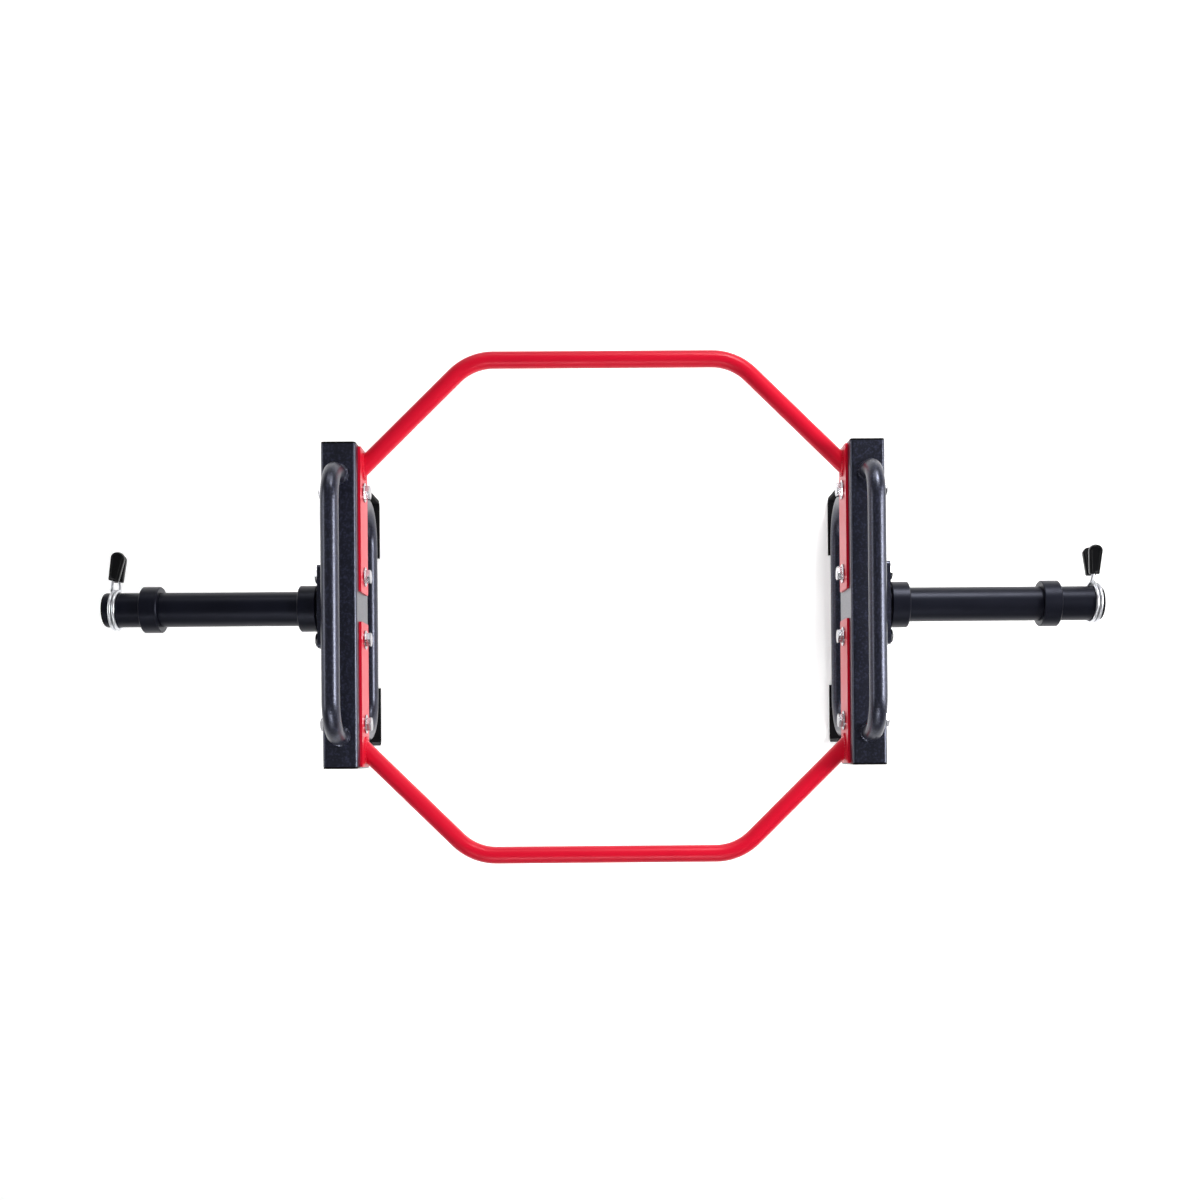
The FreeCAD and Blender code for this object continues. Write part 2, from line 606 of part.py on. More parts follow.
def biarc(start, start_way, end, end_way):
    """Two arcs that run on into each other, from one point and direction to another."""
    chord = end - start
    ways = start_way + end_way
    spread = 2.0 * (1.0 - start_way.dot(end_way))
    reach = chord.dot(ways)
    if spread < TOLERANCE * TOLERANCE:
        length = chord.dot(chord) / (2.0 * reach)
    else:
        length = (math.sqrt(reach * reach + spread * chord.dot(chord)) - reach) / spread
    corners = (start + start_way * length, end - end_way * length)
    joint = (corners[0] + corners[1]) * 0.5
    edges = []
    for first, corner, last in ((start, corners[0], joint), (joint, corners[1], end)):
        weight = (last - first).Length / (2.0 * (corner - first).Length)
        middle = (first + corner * (2.0 * weight) + last) * (1.0 / (2.0 + 2.0 * weight))
        edges.append(Part.Arc(first, middle, last).toShape())
    return edges


def clip_middle(side_name):
    return f"({SLEEVE_TIP} - sizes.clip_inset_{side_name})"


def lean_of(side_name, level_name):
    return size(LEANS.get((side_name, level_name), "0"))


def clip_path(leans):
    """The wire's middle line: a leg, two turns that squeezing opens, and another leg."""
    wire = size("sizes.clip_wire")
    coil_radius = size("sizes.sleeve_diameter / 2 + sizes.clip_clearance") + wire / 2
    pitch, bend = size("sizes.clip_pitch"), size("sizes.clip_bend")
    leg_angle = math.radians(size("sizes.leg_angle"))
    swing = math.asin(bend / (coil_radius + bend))
    first_turn = leg_angle - swing
    whole_turn = 2.0 * math.pi * CLIP_TURNS + 2.0 * first_turn
    leg_root = (coil_radius + bend) * math.cos(swing)
    grip_start, insert = size("sizes.grip_start"), size("sizes.leg_insert")
    root_offset, offset = size("sizes.root_offset"), size("sizes.leg_offset")

    def on_coil(turned):
        angle = first_turn - turned
        x = pitch * (turned - whole_turn / 2) / (2.0 * math.pi)
        point = Vector(x, coil_radius * math.cos(angle), coil_radius * math.sin(angle))
        way = Vector(pitch / (2.0 * math.pi), coil_radius * math.sin(angle), -coil_radius * math.cos(angle))
        return point, way.normalize()

    def on_leg(level):
        """Places and directions of a leg at its root and at its grip, and its tip in the grip."""
        lean = math.radians(leans[level])
        radial = Vector(0, math.cos(leg_angle), level * math.sin(leg_angle))
        way = radial * math.cos(lean) + X_AXIS * math.sin(lean)
        root = radial * leg_root - X_AXIS * (level * root_offset)
        mouth = radial * grip_start - X_AXIS * (level * offset)
        return (root, radial), (mouth, way), mouth + way * insert

    def backwards(station):
        return station[0], station[1] * -1.0

    upper_root, upper_mouth, upper_tip = on_leg(1)
    lower_root, lower_mouth, lower_tip = on_leg(-1)
    quarters = 4 * CLIP_TURNS
    turns = [on_coil(whole_turn * index / quarters) for index in range(quarters + 1)]
    stations = [backwards(upper_mouth), backwards(upper_root), *turns, lower_root, lower_mouth]
    edges = [Part.makeLine(upper_tip, upper_mouth[0])]
    for (start, start_way), (end, end_way) in zip(stations, stations[1:]):
        edges.extend(biarc(start, start_way, end, end_way))
    edges.append(Part.makeLine(lower_mouth[0], lower_tip))
    return edges, wire


def least_gap(edges, wire):
    """The smallest room between two stretches of the wire that aren't neighbours along it."""
    step, apart = wire / 6.0, 3.0 * wire
    points, runs, run = [], [], 0.0
    for edge in edges:
        count = max(2, int(edge.Length / step))
        for index, point in enumerate(edge.discretize(count + 1)[:-1]):
            points.append(point)
            runs.append(run + edge.Length * index / count)
        run += edge.Length
    nearest = min((first - second).Length
                  for index, first in enumerate(points)
                  for second, second_run in zip(points[index + 1:], runs[index + 1:])
                  if second_run - runs[index] > apart)
    return nearest - wire


def clip_spring(side_name, side):
    edges, wire = clip_path({level: lean_of(side_name, name) for name, level in LEVELS.items()})
    radii = [edge.Curve.Radius for edge in edges if isinstance(edge.Curve, Part.Circle)]
    print(f"{side_name} clip wire: least gap to itself {least_gap(edges, wire):.2f} mm,"
          f" tightest bend {min(radii):.2f} mm")
    start_way = edges[0].tangentAt(edges[0].FirstParameter)
    profile = Part.Wire([Part.Circle(edges[0].Vertexes[0].Point, start_way, wire / 2).toShape()])
    spring = doc.addObject("Part::Feature", f"{side_name}_clip_spring")
    spring.Label = f"{side_name}_clip_spring"
    spring.Shape = Part.Wire(edges).makePipeShell([profile], True, False)
    length = sum(edge.Length for edge in edges)
    print(f"{side_name} clip wire: volume over section times length"
          f" {spring.Shape.Volume / (math.pi * wire * wire / 4 * length):.4f}")
    nodes.append(spring)
    seat(spring, side, Y_AXIS if side > 0 else None, across=f"{side} * {clip_middle(side_name)}")


def grip(side_name, side, level_name, level):
    """A paddle that widens to a round tip, with a blind hole for its leg."""
    body = new_body(f"{side_name}_{level_name}_grip")
    outline = new_sketch(body, "outline", "XY_Plane")
    foot_half, tip_half = "sizes.grip_foot_width / 2", "sizes.grip_tip_width / 2"
    tip_y = "(sizes.grip_length - sizes.grip_crown)"
    crown = "((sizes.grip_tip_width ^ 2 / 4 + sizes.grip_crown ^ 2) / (2 * sizes.grip_crown))"
    near, far = size(foot_half), size(tip_half)
    high, radius = size(tip_y), size(crown)
    rise = math.asin(far / radius)
    outline.addGeometry(Part.LineSegment(Vector(-near, 0, 0), Vector(near, 0, 0)), False)
    outline.addGeometry(Part.LineSegment(Vector(near, 0, 0), Vector(far, high, 0)), False)
    middle = Vector(0, high - radius * math.cos(rise), 0)
    outline.addGeometry(Part.ArcOfCircle(Part.Circle(middle, Z_AXIS, radius),
                                         math.pi / 2 - rise, math.pi / 2 + rise), False)
    outline.addGeometry(Part.LineSegment(Vector(-far, high, 0), Vector(-near, 0, 0)), False)
    for first in range(4):
        outline.addConstraint(Sketcher.Constraint("Coincident", first, 2, (first + 1) % 4, 1))
    for point, sign in ((1, -1), (2, 1)):
        place(outline, 0, point, "X", sign, foot_half)
        outline.addConstraint(Sketcher.Constraint("PointOnObject", 0, point, -1))
    place(outline, 1, 2, "X", 1, tip_half)
    place(outline, 1, 2, "Y", 1, tip_y)
    outline.addConstraint(Sketcher.Constraint("Symmetric", 2, 1, 2, 2, -2))
    bind(outline, Sketcher.Constraint("Radius", 2, radius), crown)
    pad(body, outline, "sizes.grip_thickness", symmetric=True)
    round_edges(body, "Fillet", "sizes.grip_rounding",
                lambda edge: edge.CenterOfMass.y > TOLERANCE)
    hole = new_sketch(body, "leg_hole", "XZ_Plane")
    circle(hole, "sizes.clip_wire / 2 + sizes.grip_clearance",
           across=(-level, "sizes.leg_offset - sizes.grip_offset"))
    pocket(body, hole, "sizes.leg_insert + sizes.grip_clearance")
    raised = Rotation(X_AXIS, level * size("sizes.leg_angle"))
    leaning = Rotation(Z_AXIS, -lean_of(side_name, level_name))
    body.Placement = Placement(Vector(), raised.multiply(leaning))
    seat(body, side, across=f"{side} * {clip_middle(side_name)} - {level} * sizes.grip_offset",
         lengthwise="sizes.grip_start * cos(sizes.leg_angle)",
         up=f"{level} * sizes.grip_start * sin(sizes.leg_angle)")


# The whole part

for side_word, side_sign in SIDES.items():
    beam(side_word, side_sign)
    carry_handle(side_word, side_sign)
    stand_hoop(side_word, side_sign)
    for end_word, end_sign in ENDS.items():
        beam_cap(side_word, side_sign, end_word, end_sign)
        foot(side_word, side_sign, end_word, end_sign)
        frame_plate(side_word, side_sign, end_word, end_sign)
    sleeve_flange(side_word, side_sign)
    sleeve(side_word, side_sign)
    stop_collar(side_word, side_sign)
    sleeve_plug(side_word, side_sign)
    fasteners(side_word, side_sign)
    loose_ring(side_word, side_sign)
    clip_spring(side_word, side_sign)
    for level_word, level_sign in LEVELS.items():
        grip(side_word, side_sign, level_word, level_sign)
for end_word, end_sign in ENDS.items():
    frame_tube(end_word, end_sign)

doc.recompute()
for item in doc.Objects:
    if "Invalid" in item.State or "Error" in item.State:
        raise RuntimeError(f"{item.Name} failed: {item.State}")
for node in nodes:
    if node.Shape.isNull() or not node.Shape.isValid():
        raise RuntimeError(f"{node.Label} has no valid shape")

os.makedirs("parts", exist_ok=True)
for node in nodes:
    node.Shape.exportStep(f"parts/{node.Label}.step")
print(f"{len(nodes)} nodes written")
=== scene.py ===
import json
import math

import bmesh
import bpy
from bpy.props import FloatProperty, FloatVectorProperty, PointerProperty
from mathutils import Matrix, Vector


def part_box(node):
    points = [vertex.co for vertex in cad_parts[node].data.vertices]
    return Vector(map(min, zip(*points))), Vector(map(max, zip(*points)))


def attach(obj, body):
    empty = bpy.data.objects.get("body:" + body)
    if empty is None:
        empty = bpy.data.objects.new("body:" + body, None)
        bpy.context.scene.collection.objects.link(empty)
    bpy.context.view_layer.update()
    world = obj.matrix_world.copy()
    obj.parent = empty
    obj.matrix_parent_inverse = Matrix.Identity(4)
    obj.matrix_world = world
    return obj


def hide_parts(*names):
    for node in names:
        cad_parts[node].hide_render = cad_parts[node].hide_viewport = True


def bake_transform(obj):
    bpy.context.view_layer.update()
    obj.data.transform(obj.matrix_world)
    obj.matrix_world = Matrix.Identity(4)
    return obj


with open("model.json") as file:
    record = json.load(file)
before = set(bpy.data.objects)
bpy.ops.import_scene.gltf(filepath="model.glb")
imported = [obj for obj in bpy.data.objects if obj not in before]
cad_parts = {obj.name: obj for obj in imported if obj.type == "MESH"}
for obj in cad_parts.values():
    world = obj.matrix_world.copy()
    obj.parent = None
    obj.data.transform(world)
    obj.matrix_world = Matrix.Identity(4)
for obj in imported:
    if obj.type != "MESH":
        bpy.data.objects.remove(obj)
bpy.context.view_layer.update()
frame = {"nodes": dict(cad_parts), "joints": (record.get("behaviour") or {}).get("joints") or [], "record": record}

bl_info = {
    "name": "Trap bar looks",
    "version": (1, 0, 0),
    "blender": (4, 5, 0),
    "location": "3D View > Sidebar > Trap Bar",
    "description": "Finishes, weld seams, threads, caps, spring clips and studio of a closed trap bar",
    "category": "Object",
}

# Places that come from the frame, in metres

NODES = frame["nodes"]
JOINTS = {joint["name"]: joint for joint in frame["joints"]}
BAR = "bar"
SIDES = {"left": -1, "right": 1}
ENDS = {"front": -1, "rear": 1}
LEVELS = {"upper": 1, "lower": -1}
X_AXIS = Vector((1, 0, 0))
Y_AXIS = Vector((0, 1, 0))
Z_AXIS = Vector((0, 0, 1))
MM = 0.001
TOUCH = 0.01 * MM


def middle(node):
    low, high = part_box(node)
    return (low + high) / 2


def span(node):
    low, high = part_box(node)
    return high - low


def extent(points):
    """The lowest and highest corners of a set of points."""
    return Vector(map(min, *points)), Vector(map(max, *points))


def inner_x(node, side):
    """The end of a node that is nearer to the middle of the bar."""
    low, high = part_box(node)
    return low.x if side > 0 else high.x


# Sizes and colours that a user would change

def length(label, about, millimetres):
    return FloatProperty(name=label, description=about, default=millimetres * MM, min=0.0,
                         unit="LENGTH", precision=5)


def angle(label, about, degrees):
    return FloatProperty(name=label, description=about, default=math.radians(degrees), subtype="ANGLE")


def share(label, about, value):
    return FloatProperty(name=label, description=about, default=value, min=0.0, max=1.0, subtype="FACTOR")


def colour(label, about, red, green, blue):
    return FloatVectorProperty(name=label, description=about, default=(red, green, blue), size=3,
                               min=0.0, max=1.0, subtype="COLOR")


class TrapBarSizes(bpy.types.PropertyGroup):
    """Sizes of the seams, threads, caps, clips and grips."""

    bead_radius: length("Weld bead", "Radius of a weld bead's section", 3.0)
    bead_ripple: length("Weld ripple", "Length of one ripple of a weld bead", 3.4)
    bead_depth: share("Ripple depth", "How much a bead thins along each ripple", 0.26)
    tack_length: length("Tack weld", "Length of a weld between a foot and its hoop", 13.0)
    tack_apart: length("Tack offset", "From the middle of the hoop's tube to a tack weld", 5.2)
    bolt: length("Bolt", "Diameter of the bolts", 12.0)
    thread_pitch: length("Thread pitch", "Pitch of the bolts", 1.75)
    thread_ridge: length("Thread ridge", "Half the height of a thread's ridge", 0.42)
    cap_rounding: length("Cap rounding", "Rounding of a beam cap's rim", 1.6)
    cap_groove: length("Cap groove", "Bevel of a beam cap against the beam's end", 0.9)
    cap_corner: length("Cap corner", "Corner of a beam cap, as the beam's own", 5.0)
    cap_rim: length("Cap rim", "Thickness of a beam cap outside the beam", 3.0)
    cap_insert: length("Cap insert", "Depth of a beam cap inside the beam", 14.0)
    cap_margin: length("Cap margin", "From a beam cap's outline to its insert", 3.3)
    panel_margin: length("Cap panel", "From a beam cap's outline to its sunk panel", 6.5)
    panel_depth: length("Cap panel depth", "Depth of that panel", 0.8)
    wire: length("Wire", "Diameter of the clip's wire", 4.6)
    wire_gap: length("Wire gap", "Between the wire and the sleeve", 0.3)
    coil_pitch: length("Coil pitch", "Step between the clip's two turns", 5.5)
    leg_bend: length("Leg bend", "Bend from the coil into a leg", 8.0)
    leg_angle: angle("Leg angle", "Each leg above or below the level", 12.0)
    root_offset: length("Root offset", "Each leg from the middle of its clip at its root", 3.4)
    leg_offset: length("Leg offset", "Each leg from the middle of its clip at its grip", 2.0)
    leg_lean: angle("Leg lean", "Lean of the left upper leg towards the middle of the bar", 15.0)
    leg_insert: length("Leg insert", "Leg inside its grip", 30.0)
    grip_offset: length("Grip offset", "Each grip from the middle of its clip, along the sleeve", 0.5)
    grip_start: length("Grip start", "From the sleeve's middle line to the foot of a grip", 42.5)
    grip_length: length("Grip length", "Grip along its leg", 43.0)
    grip_foot: length("Grip foot", "Width of a grip at its foot", 15.0)
    grip_tip: length("Grip tip", "Width of a grip where its tip starts to round", 20.0)
    grip_crown: length("Grip crown", "Height of the round tip", 9.0)
    grip_thickness: length("Grip thickness", "Grip from face to face", 8.6)
    grip_bevel: length("Grip bevel", "Bevel round a grip's faces", 1.9)
    grip_rim: length("Grip rim", "Flat rim inside that bevel", 1.3)
    grip_sink: length("Grip panel", "Depth of the panel inside the rim", 0.7)


class TrapBarColours(bpy.types.PropertyGroup):
    """Colours of the seven finishes and of the floor."""

    black_coat: colour("Black coat", "Powder coat of beams, handles, hoops and flanges",
                       0.0076, 0.0082, 0.0155)
    # The feet's darker colour is painted shade: it is the same powder coat as the beams, darkened because the feet
    # look dark
    foot_coat: colour("Foot coat", "Matt coat of the feet", 0.003, 0.0031, 0.0045)
    red_coat: colour("Red coat", "Powder coat of the frame tubes and their plates", 0.56, 0.004, 0.022)
    black_sleeve: colour("Black sleeve", "Coat of sleeves, collars and rings", 0.0034, 0.0037, 0.0074)
    zinc: colour("Zinc", "Plated bolts, nuts and washers", 0.37, 0.37, 0.39)
    chrome_wire: colour("Chrome", "Wire of the spring clips", 0.72, 0.73, 0.76)
    black_plastic: colour("Black plastic", "Grips, beam caps and sleeve plugs", 0.0018, 0.0018, 0.0025)
    floor: colour("Floor", "Studio floor", 0.9, 0.9, 0.9)


def sizes():
    return bpy.context.scene.trap_bar_sizes


def colours():
    return bpy.context.scene.trap_bar_colours


# Nodes and expressions

class Signal:
    """A node's output. Sums and products of signals add Math nodes to their tree."""

    def __init__(self, maker, socket):
        self.maker = maker
        self.socket = socket

    def __add__(self, other):
        return self.maker.math("ADD", self, other)

    def __radd__(self, other):
        return self.maker.math("ADD", other, self)

    def __sub__(self, other):
        return self.maker.math("SUBTRACT", self, other)

    def __rsub__(self, other):
        return self.maker.math("SUBTRACT", other, self)

    def __mul__(self, other):
        return self.maker.math("MULTIPLY", self, other)

    def __rmul__(self, other):
        return self.maker.math("MULTIPLY", other, self)

    def __truediv__(self, other):
        return self.maker.math("DIVIDE", self, other)

    def __rtruediv__(self, other):
        return self.maker.math("DIVIDE", other, self)


class Maker:
    """Adds nodes to a tree."""

    def __init__(self, tree):
        self.tree = tree

    def feed(self, socket, value):
        if isinstance(value, Signal):
            self.tree.links.new(value.socket, socket)
        else:
            socket.default_value = value

    def node(self, kind, settings=None, sockets=None, output=0):
        """A node of a kind, with its settings made before its sockets are fed."""
        made = self.tree.nodes.new(kind)
        for name, value in (settings or {}).items():
            if name == "stops":
                for stop, (position, shade) in zip(made.color_ramp.elements, value):
                    stop.position, stop.color = position, (shade, shade, shade, 1.0)
            else:
                setattr(made, name, value)
        for key, value in (sockets or {}).items():
            self.feed(made.inputs[key], value)
        return Signal(self, made.outputs[output])

    def math(self, operation, first, second=0.0):
        return self.node("ShaderNodeMath", {"operation": operation}, {0: first, 1: second})


class Finish(Maker):
    """One procedural material."""

    MIX_FACTOR, MIX_FIRST, MIX_SECOND, MIX_RESULT = 0, 6, 7, 2

    def __init__(self, name):
        self.material = bpy.data.materials.new(name)
        self.material.use_nodes = True
        super().__init__(self.material.node_tree)
        self.shader = self.tree.nodes["Principled BSDF"]
        self.place = self.node("ShaderNodeTexCoord", output="Object")

    def noise(self, scale, detail=2.0, place=None):
        sockets = {"Vector": place or self.place, "Scale": scale, "Detail": detail}
        return self.node("ShaderNodeTexNoise", {}, sockets)

    def stretched(self, across, along, up):
        """Object coordinates, scaled by different amounts along the three axes."""
        return self.node("ShaderNodeMapping", {}, {"Vector": self.place, "Scale": (across, along, up)})

    def ramp(self, value, low, high):
        """A value spread from black to white between two limits."""
        return self.node("ShaderNodeValToRGB", {"stops": ((low, 0.0), (high, 1.0))}, {"Fac": value})

    def mix(self, factor, first, second):
        sockets = {self.MIX_FACTOR: factor, self.MIX_FIRST: first, self.MIX_SECOND: second}
        return self.node("ShaderNodeMix", {"data_type": "RGBA"}, sockets, self.MIX_RESULT)

    def tones(self, factor, base, darker, lighter):
        """A colour that varies between a darker and a lighter tone of itself."""
        first, second = (tuple(min(1.0, channel * amount) for channel in base) + (1.0,)
                         for amount in (darker, lighter))
        return self.mix(factor, first, second)

    def bump(self, height, strength, depth):
        sockets = {"Strength": strength, "Distance": depth, "Height": height}
        return self.node("ShaderNodeBump", {}, sockets)

    def surface(self, **sockets):
        for name, value in sockets.items():
            self.feed(self.shader.inputs[name.replace("_", " ").title().replace("Ior", "IOR")], value)
        return self.material


class Shaper(Maker):
    """A Geometry Nodes tree with named inputs that ends in one realised mesh with its finish."""

    FLOAT, MATERIAL, GEOMETRY = "NodeSocketFloat", "NodeSocketMaterial", "NodeSocketGeometry"
    RANDOM_LOW, RANDOM_HIGH, RANDOM_RESULT = 2, 3, 1

    def __init__(self, name, numbers):
        super().__init__(bpy.data.node_groups.new(name, "GeometryNodeTree"))
        self.tree.interface.new_socket("Geometry", in_out="INPUT", socket_type=self.GEOMETRY)
        for label in numbers:
            self.tree.interface.new_socket(label, in_out="INPUT", socket_type=self.FLOAT)
        self.tree.interface.new_socket("Finish", in_out="INPUT", socket_type=self.MATERIAL)
        self.tree.interface.new_socket("Geometry", in_out="OUTPUT", socket_type=self.GEOMETRY)
        self.inputs = self.tree.nodes.new("NodeGroupInput")

    def given(self, label):
        return Signal(self, self.inputs.outputs[label])

    def close(self, geometry):
        whole = self.node("GeometryNodeRealizeInstances", {}, {"Geometry": geometry})
        coated = self.node("GeometryNodeSetMaterial", {},
                           {"Geometry": whole, "Material": self.given("Finish")})
        self.feed(self.tree.nodes.new("NodeGroupOutput").inputs["Geometry"], coated)
        return self.tree


# Finishes. Noise scales are per metre

WHITE = (1.0, 1.0, 1.0, 1.0)
COOL = (0.74, 0.78, 1.0, 1.0)
WARM = (1.0, 0.5, 0.55, 1.0)


def powder_coat(name, base):
    """Satin black powder coat with a fine, speckled grain."""
    coat = Finish(name)
    grain = coat.noise(scale=380.0, detail=2.0)
    cloud = coat.noise(scale=26.0, detail=3.0)
    speck = coat.ramp(coat.noise(scale=360.0, detail=1.0), low=0.5, high=0.68)
    return coat.surface(
        base_color=coat.tones(speck * 0.8 + cloud * 0.2, base, darker=0.25, lighter=3.0),
        roughness=0.25 + 0.06 * cloud + 0.06 * grain,
        specular_ior_level=0.74,
        specular_tint=COOL,
        normal=coat.bump(grain, strength=0.8, depth=0.25 * MM))


def foot_coat(name, base):
    """Matt black coat of the feet, with a base colour darker than the beams' coat as painted shade."""
    coat = Finish(name)
    grain = coat.noise(scale=380.0, detail=2.0)
    cloud = coat.noise(scale=26.0, detail=3.0)
    return coat.surface(
        base_color=coat.tones(cloud, base, darker=0.7, lighter=1.3),
        roughness=0.7 + 0.1 * cloud,
        specular_ior_level=0.15,
        normal=coat.bump(grain, strength=0.4, depth=0.25 * MM))


def gloss_coat(name, base):
    """Gloss red powder coat with a soft orange peel."""
    coat = Finish(name)
    peel = coat.noise(scale=420.0, detail=1.0)
    cloud = coat.noise(scale=14.0, detail=2.0)
    return coat.surface(
        base_color=coat.tones(cloud * 0.6 + peel * 0.4, base, darker=0.9, lighter=1.08),
        roughness=0.3 + 0.08 * cloud,
        specular_ior_level=0.35,
        specular_tint=WARM,
        normal=coat.bump(peel, strength=0.12, depth=0.25 * MM))


def sleeve_coat(name, base):
    """Smooth satin black, with faint marks along the sleeve where plates have slid."""
    coat = Finish(name)
    cloud = coat.noise(scale=20.0, detail=3.0)
    lengthwise = coat.stretched(across=16.0, along=900.0, up=900.0)
    marks = coat.ramp(coat.noise(scale=1.0, detail=2.0, place=lengthwise), low=0.55, high=0.78)
    grain = coat.noise(scale=900.0, detail=1.0)
    return coat.surface(
        base_color=coat.tones(cloud * 0.6 + marks * 0.4, base, darker=0.8, lighter=1.5),
        roughness=0.33 + 0.1 * cloud - 0.08 * marks,
        specular_ior_level=0.22,
        specular_tint=COOL,
        normal=coat.bump(grain, strength=0.12, depth=0.12 * MM))


def zinc_plate(name, base):
    """Bright zinc plate with slight clouding."""
    plate = Finish(name)
    cloud = plate.noise(scale=160.0, detail=3.0)
    grain = plate.noise(scale=1500.0, detail=2.0)
    return plate.surface(
        base_color=plate.tones(cloud, base, darker=0.82, lighter=1.1),
        roughness=0.1 + 0.08 * cloud,
        metallic=1.0,
        normal=plate.bump(grain, strength=0.1, depth=0.08 * MM))


def chrome(name, base):
    """Chromed spring wire."""
    plate = Finish(name)
    cloud = plate.noise(scale=220.0, detail=2.0)
    return plate.surface(
        base_color=plate.tones(cloud, base, darker=0.95, lighter=1.04),
        roughness=0.28 + 0.04 * cloud,
        metallic=1.0)


def moulded(name, base):
    """Black plastic with a fine moulded grain."""
    plastic = Finish(name)
    grain = plastic.noise(scale=1700.0, detail=1.0)
    cloud = plastic.noise(scale=60.0, detail=2.0)
    return plastic.surface(
        base_color=plastic.tones(cloud, base, darker=0.8, lighter=1.3),
        roughness=0.2 + 0.1 * cloud,
        specular_ior_level=0.27,
        normal=plastic.bump(grain, strength=0.12, depth=0.08 * MM))


FINISHES = {"black_coat": powder_coat, "red_coat": gloss_coat, "black_sleeve": sleeve_coat,
            "zinc": zinc_plate, "chrome_wire": chrome, "black_plastic": moulded, "foot_coat": foot_coat}


def finish(slot):
    """The material of a finish, made when it is first asked for."""
    name = f"{slot}_finish"
    return bpy.data.materials.get(name) or FINISHES[slot](name, getattr(colours(), slot))


# Meshes

SMOOTH_LIMIT = math.radians(32)


def tidy(mesh):
    """Merges doubles, turns faces outwards and shades all but the sharp edges smooth."""
    work = bmesh.new()
    work.from_mesh(mesh)
    bmesh.ops.remove_doubles(work, verts=work.verts, dist=TOUCH)
    bmesh.ops.recalc_face_normals(work, faces=work.faces)
    work.to_mesh(mesh)
    work.free()
    mesh.shade_smooth()
    mesh.set_sharp_from_angle(angle=SMOOTH_LIMIT)


def add_piece(name, mesh, slot):
    """A new object at the origin that takes its finish from a slot."""
    tidy(mesh)
    mesh.materials.clear()
    mesh.materials.append(finish(slot))
    piece = bpy.data.objects.new(name, mesh)
    bpy.context.scene.collection.objects.link(piece)
    return piece


def loft(name, rings):
    """A closed mesh through rings of equally many points, with a flat face at either end."""
    work = bmesh.new()
    rows = [[work.verts.new(point) for point in ring] for ring in rings]
    for row, after in zip(rows, rows[1:]):
        for index, vert in enumerate(row):
            work.faces.new((row[index - 1], vert, after[index], after[index - 1]))
    work.faces.new(rows[0])
    work.faces.new(rows[-1])
    mesh = bpy.data.meshes.new(name)
    work.to_mesh(mesh)
    work.free()
    return mesh


def shaped(name, points, edges, tree, **numbers):
    """The plain mesh that a node tree makes of points and edges."""
    mesh = bpy.data.meshes.new(f"{name}_path")
    mesh.from_pydata(points, edges, [])
    source = bpy.data.objects.new(f"{name}_path", mesh)
    bpy.context.scene.collection.objects.link(source)
    modifier = source.modifiers.new(tree.name, "NODES")
    modifier.node_group = tree
    for item in tree.interface.items_tree:
        if item.in_out == "INPUT" and item.name in numbers:
            modifier[item.identifier] = numbers[item.name]
    bpy.context.view_layer.update()
    made = bpy.data.meshes.new_from_object(source.evaluated_get(bpy.context.evaluated_depsgraph_get()))
    made.name = name
    bpy.data.objects.remove(source)
    if not made.polygons:
        raise RuntimeError(f"{name} has no faces")
    return made


# Weld seams

SEAM_POINTS = 72
RIPPLE_POINTS = 5
BEAD_SIDES = 8
BEAD_SEED = 4
UNEVEN = 0.14


def bead_tree():
    """A rippled bead along each path of edges."""
    shape = Shaper("weld_bead", ["Bead Radius", "Ripple", "Depth"])
    path = shape.node("GeometryNodeMeshToCurve", {}, {"Mesh": shape.given("Geometry")})
    path = shape.node("GeometryNodeResampleCurve", {"mode": "LENGTH"},
                      {"Curve": path, "Length": shape.given("Ripple") / RIPPLE_POINTS})
    ripples = shape.node("GeometryNodeInputIndex") / RIPPLE_POINTS
    number = shape.math("FLOOR", ripples)
    uneven = shape.node("FunctionNodeRandomValue", {"data_type": "FLOAT"},
                        {shape.RANDOM_LOW: 1.0 - UNEVEN, shape.RANDOM_HIGH: 1.0 + UNEVEN, "ID": number,
                         "Seed": BEAD_SEED}, shape.RANDOM_RESULT)
    section = shape.node("GeometryNodeCurvePrimitiveCircle", {"mode": "RADIUS"},
                         {"Resolution": BEAD_SIDES, "Radius": shape.given("Bead Radius")})
    bead = shape.node("GeometryNodeCurveToMesh", {},
                      {"Curve": path, "Profile Curve": section, "Fill Caps": True,
                       "Scale": uneven * (1.0 - shape.given("Depth") * (ripples - number))})
    return shape.close(bead)


def ellipse(centre, across, along):
    turns = [2.0 * math.pi * index / SEAM_POINTS for index in range(SEAM_POINTS)]
    return [centre + across * math.cos(turn) + along * math.sin(turn) for turn in turns]


def tube_feet(node, seat):
    """Rings where the two legs of a bent tube stand on a beam."""
    radius = span(node).x / 2
    across = middle(node).x
    reach = span(node).y / 2 - radius
    return [ellipse(Vector((across, end * reach, seat)), X_AXIS * radius, Y_AXIS * radius)
            for end in ENDS.values()]


def landing(node, face):
    """The outline of a frame tube's end on its plate."""
    rim = [vert.co for vert in NODES[node].data.vertices if abs(vert.co.x - face) < TOUCH]
    low, high = extent(rim)
    half = (high - low) / 2
    return ellipse((low + high) / 2, Y_AXIS * half.y, Z_AXIS * half.z)


